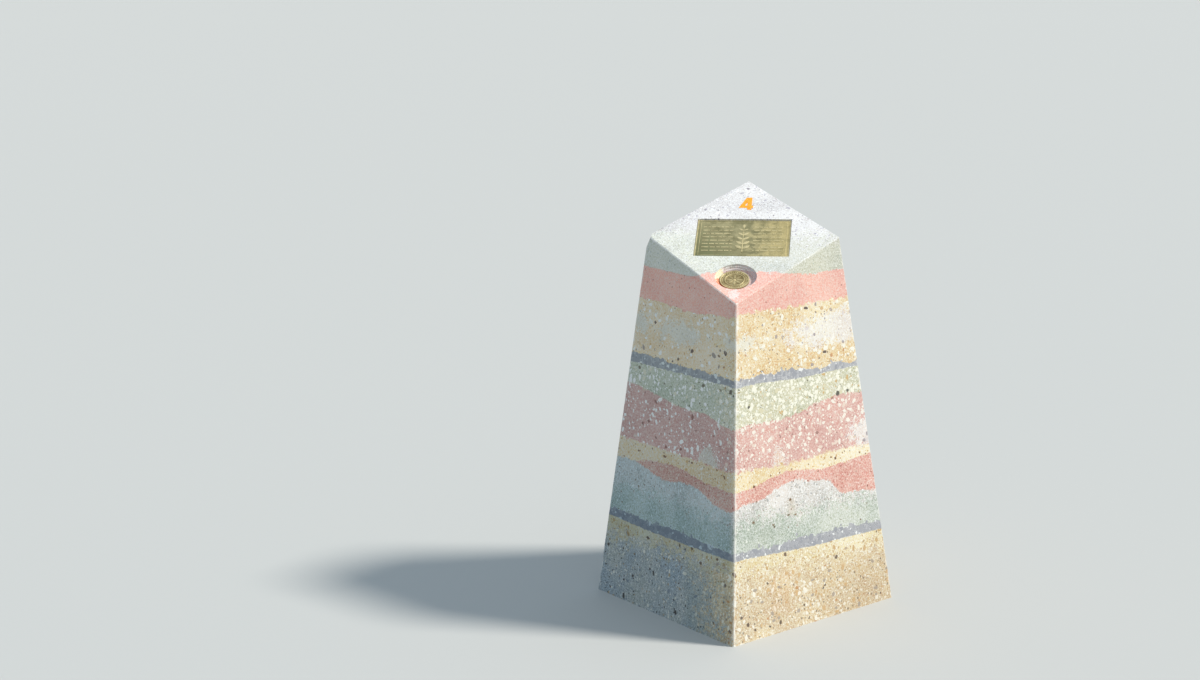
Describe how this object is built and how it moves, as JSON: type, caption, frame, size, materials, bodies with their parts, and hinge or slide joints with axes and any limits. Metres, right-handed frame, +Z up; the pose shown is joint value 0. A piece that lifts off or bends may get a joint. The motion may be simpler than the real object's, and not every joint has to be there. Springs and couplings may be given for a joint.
{
  "type": "marker obelisk",
  "caption": "Short square obelisk cast in wavy beds of coloured concrete, with a sloping top that carries a brass plaque and a recessed brass medallion.",
  "frame": {"origin": "on the ground at the centre of the square foot", "axes": "+Z up; -Y towards the low front corner, so the block stands corner on; +X to the right of someone who faces that corner and reads the plaque"},
  "size_m": [0.6476, 0.6476, 0.8886],
  "materials": {
    "foot_grey_concrete": "honed concrete, matt, with its aggregate showing",
    "foot_buff_concrete": "honed concrete, matt, with its aggregate showing",
    "slate_concrete": "honed concrete, matt, with its aggregate showing",
    "green_concrete": "honed concrete, matt, with its aggregate showing",
    "pale_grey_concrete": "honed concrete, matt, with its aggregate showing",
    "red_concrete": "honed concrete, matt, with its aggregate showing",
    "ochre_concrete": "honed concrete, matt, with its aggregate showing",
    "rose_chip_concrete": "honed concrete, matt, with its aggregate showing",
    "sage_chip_concrete": "honed concrete, matt, with its aggregate showing",
    "buff_chip_concrete": "honed concrete, matt, with its aggregate showing",
    "rose_concrete": "honed concrete, matt, with its aggregate showing",
    "cap_green_concrete": "honed concrete, matt, with its aggregate showing",
    "cap_white_concrete": "honed concrete, matt, with its aggregate showing",
    "white_lens_concrete": "honed concrete, matt, with its aggregate showing",
    "grey_lens_concrete": "honed concrete, matt, with its aggregate showing",
    "sage_pocket_concrete": "honed concrete, matt, with its aggregate showing",
    "corner_pocket_concrete": "honed concrete, matt, with its aggregate showing",
    "weathered_brass": "cast, dulled olive brown with worn bright high spots"
  },
  "bodies": {
    "root": {"foot_grey_bed": "foot_grey_concrete", "foot_buff_bed": "foot_buff_concrete", "lower_slate_band": "slate_concrete", "green_bed": "green_concrete", "grey_bed": "pale_grey_concrete", "red_seam": "red_concrete", "ochre_seam": "ochre_concrete", "rose_chip_bed": "rose_chip_concrete", "sage_chip_bed": "sage_chip_concrete", "upper_slate_band": "slate_concrete", "buff_chip_bed": "buff_chip_concrete", "rose_bed": "rose_concrete", "cap_green_bed": "cap_green_concrete", "cap_white_bed": "cap_white_concrete", "white_lens": "white_lens_concrete", "grey_lens": "grey_lens_concrete", "edge_lens": "grey_lens_concrete", "arris_lens": "grey_lens_concrete", "sage_pocket": "sage_pocket_concrete", "white_pocket": "white_lens_concrete", "corner_pocket": "corner_pocket_concrete", "plaque": "weathered_brass", "medallion": "weathered_brass"}
  },
  "joints": []
}
